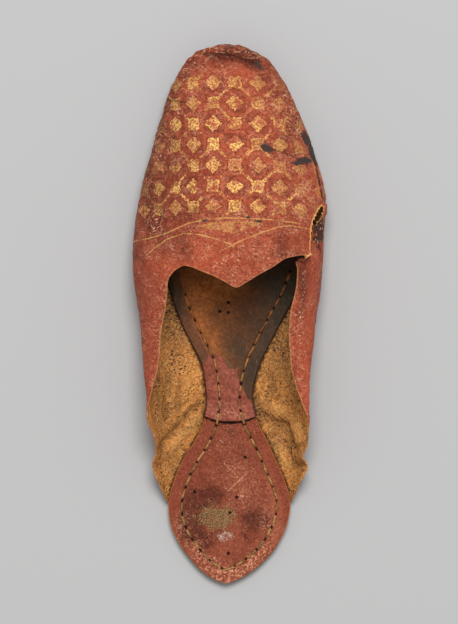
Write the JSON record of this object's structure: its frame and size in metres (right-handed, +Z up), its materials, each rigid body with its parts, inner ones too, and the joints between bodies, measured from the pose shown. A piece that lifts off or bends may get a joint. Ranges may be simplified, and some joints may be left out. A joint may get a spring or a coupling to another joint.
{
  "type": "backless leather slipper",
  "caption": "Old backless leather slipper with a soft vamp, flared quarters and an hourglass sole.",
  "frame": {"origin": "middle of the bounding box's underside, on the floor that the sole stands on", "axes": "+Y from heel to toe, +Z up, +X to the side of the vamp's tear"},
  "size_m": [0.0894, 0.2496, 0.045],
  "materials": {
    "sole_leather": "worn, matt",
    "red_goatskin": "worn goatskin, low sheen, gilt tooling on the vamp",
    "brown_leather": "smooth, worn, low sheen",
    "worn_red_leather": "worn, matt"
  },
  "bodies": {
    "root": {"outsole": "sole_leather", "upper": "red_goatskin", "insole_front": "brown_leather", "insole_heel": "worn_red_leather"}
  },
  "joints": []
}
